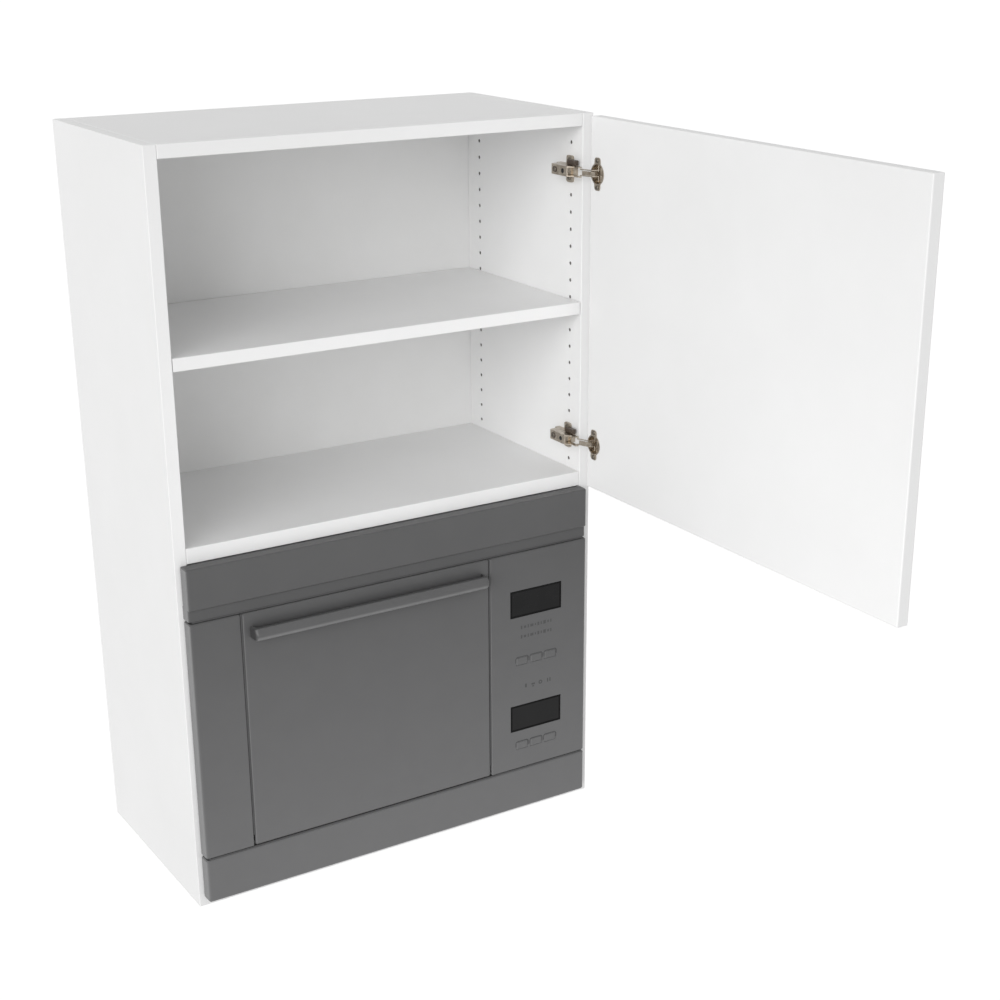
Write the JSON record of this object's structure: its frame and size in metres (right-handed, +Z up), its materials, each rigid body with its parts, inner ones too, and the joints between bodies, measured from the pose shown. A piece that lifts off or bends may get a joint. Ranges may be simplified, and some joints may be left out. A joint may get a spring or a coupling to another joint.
{
  "type": "microwave wall cabinet",
  "caption": "Wall-hung kitchen cabinet with a side-hung door over an open shelf compartment, and a built-in microwave oven in the niche below.",
  "frame": {"origin": "centre of the upper hanging rail's rear face, on the wall plane", "axes": "+X to the right as seen from the room, +Y into the wall, +Z up"},
  "size_m": [0.6, 0.912, 0.96],
  "materials": {
    "board": "white melamine on particle board",
    "back_board": "white faced hardboard",
    "hinge_metal": "nickel plated",
    "facia": "fine satin grey",
    "handle": "satin grey",
    "key": "satin grey",
    "display": "dark gloss window",
    "sheet_steel": "galvanised sheet",
    "enamel": "light enamel",
    "dark_plastic": "dark matt",
    "turntable_glass": "clear pressed glass",
    "mica": "pressed mica sheet"
  },
  "bodies": {
    "cabinet": {"left_side_panel": "board", "right_side_panel": "board", "top_panel": "board", "fixed_panel": "board", "bottom_panel": "board", "back_panel": "back_board", "hanging_rail_upper": "board", "hanging_rail_lower": "board", "adjustable_shelf": "board", "shelf_pin_left_front": "hinge_metal", "shelf_pin_left_rear": "hinge_metal", "shelf_pin_right_front": "hinge_metal", "shelf_pin_right_rear": "hinge_metal", "upper_hinge_mounting_plate": "hinge_metal", "lower_hinge_mounting_plate": "hinge_metal", "upper_hinge_arm": "hinge_metal", "lower_hinge_arm": "hinge_metal", "mw_top_band": "facia", "mw_bottom_band": "facia", "mw_left_filler": "facia", "mw_control_panel": "facia", "mw_display_upper": "display", "mw_display_lower": "display", "mw_pivot_left": "sheet_steel", "mw_pivot_right": "sheet_steel", "mw_case_wrap": "sheet_steel", "mw_base_plate": "sheet_steel", "mw_rear_panel": "sheet_steel", "mw_front_chassis": "sheet_steel", "mw_cavity": "enamel", "mw_turntable_motor": "sheet_steel", "mw_port_cover": "mica", "mw_magnetron": "sheet_steel", "mw_transformer": "sheet_steel", "mw_fan_frame": "dark_plastic"},
    "cabinet_door": {"cabinet_door": "board", "upper_hinge_cup": "hinge_metal", "lower_hinge_cup": "hinge_metal"},
    "upper_outer_link": {"upper_hinge_outer_link": "hinge_metal"},
    "upper_inner_link": {"upper_hinge_inner_link": "hinge_metal"},
    "lower_outer_link": {"lower_hinge_outer_link": "hinge_metal"},
    "lower_inner_link": {"lower_hinge_inner_link": "hinge_metal"},
    "mw_door": {"mw_door_panel": "facia", "mw_door_inner": "dark_plastic", "mw_door_handle": "handle"},
    "key_upper_1": {"mw_key_upper_1": "key"},
    "key_upper_2": {"mw_key_upper_2": "key"},
    "key_upper_3": {"mw_key_upper_3": "key"},
    "key_lower_1": {"mw_key_lower_1": "key"},
    "key_lower_2": {"mw_key_lower_2": "key"},
    "key_lower_3": {"mw_key_lower_3": "key"},
    "turntable": {"mw_turntable": "turntable_glass", "mw_turntable_coupler": "dark_plastic"},
    "roller_ring": {"mw_roller_ring": "dark_plastic"},
    "fan_rotor": {"mw_fan_rotor": "dark_plastic"}
  },
  "joints": [
    {"name": "cabinet_door_swing", "type": "hinge", "parent": "cabinet", "child": "cabinet_door", "pos_m": [0.29875, -0.31625, -0.1887], "axis": [0, 0, 1], "range_deg": [-90, 5]},
    {"name": "upper_outer_link_turn", "type": "hinge", "parent": "cabinet_door", "child": "upper_outer_link", "pos_m": [0.289, -0.329, -0.0155], "axis": [0, 0, 1], "range_deg": [-6, 101]},
    {"name": "upper_inner_link_turn", "type": "hinge", "parent": "cabinet_door", "child": "upper_inner_link", "pos_m": [0.2904, -0.3325, -0.0155], "axis": [0, 0, 1], "range_deg": [-6, 86]},
    {"name": "lower_outer_link_turn", "type": "hinge", "parent": "cabinet_door", "child": "lower_outer_link", "pos_m": [0.289, -0.329, -0.3707], "axis": [0, 0, 1], "range_deg": [-6, 101]},
    {"name": "lower_inner_link_turn", "type": "hinge", "parent": "cabinet_door", "child": "lower_inner_link", "pos_m": [0.2904, -0.3325, -0.3707], "axis": [0, 0, 1], "range_deg": [-6, 86]},
    {"name": "mw_door_drop", "type": "hinge", "parent": "cabinet", "child": "mw_door", "pos_m": [-0.04875, -0.315, -0.8238], "axis": [1, 0, 0], "range_deg": [0, 90]},
    {"name": "key_upper_1_press", "type": "slide", "parent": "cabinet", "child": "key_upper_1", "axis": [0, 1, 0], "range_m": [0, 0.001], "stiffness_N_per_m": 400},
    {"name": "key_upper_2_press", "type": "slide", "parent": "cabinet", "child": "key_upper_2", "axis": [0, 1, 0], "range_m": [0, 0.001], "stiffness_N_per_m": 400},
    {"name": "key_upper_3_press", "type": "slide", "parent": "cabinet", "child": "key_upper_3", "axis": [0, 1, 0], "range_m": [0, 0.001], "stiffness_N_per_m": 400},
    {"name": "key_lower_1_press", "type": "slide", "parent": "cabinet", "child": "key_lower_1", "axis": [0, 1, 0], "range_m": [0, 0.001], "stiffness_N_per_m": 400},
    {"name": "key_lower_2_press", "type": "slide", "parent": "cabinet", "child": "key_lower_2", "axis": [0, 1, 0], "range_m": [0, 0.001], "stiffness_N_per_m": 400},
    {"name": "key_lower_3_press", "type": "slide", "parent": "cabinet", "child": "key_lower_3", "axis": [0, 1, 0], "range_m": [0, 0.001], "stiffness_N_per_m": 400},
    {"name": "turntable_spin", "type": "hinge", "parent": "cabinet", "child": "turntable", "pos_m": [-0.04875, -0.17575, -0.7851], "axis": [0, 0, 1], "continuous": true},
    {"name": "roller_ring_spin", "type": "hinge", "parent": "cabinet", "child": "roller_ring", "pos_m": [-0.04875, -0.17575, -0.7914], "axis": [0, 0, 1], "continuous": true},
    {"name": "fan_spin", "type": "hinge", "parent": "cabinet", "child": "fan_rotor", "pos_m": [0.1951, -0.0505, -0.5397], "axis": [0, 1, 0], "continuous": true}
  ],
  "couplings": [
    {"joint": "upper_outer_link_turn", "follows": "cabinet_door_swing", "ratio": -1.1111},
    {"joint": "upper_inner_link_turn", "follows": "cabinet_door_swing", "ratio": -0.9444},
    {"joint": "lower_outer_link_turn", "follows": "cabinet_door_swing", "ratio": -1.1111},
    {"joint": "lower_inner_link_turn", "follows": "cabinet_door_swing", "ratio": -0.9444},
    {"joint": "roller_ring_spin", "follows": "turntable_spin", "ratio": 0.5}
  ]
}
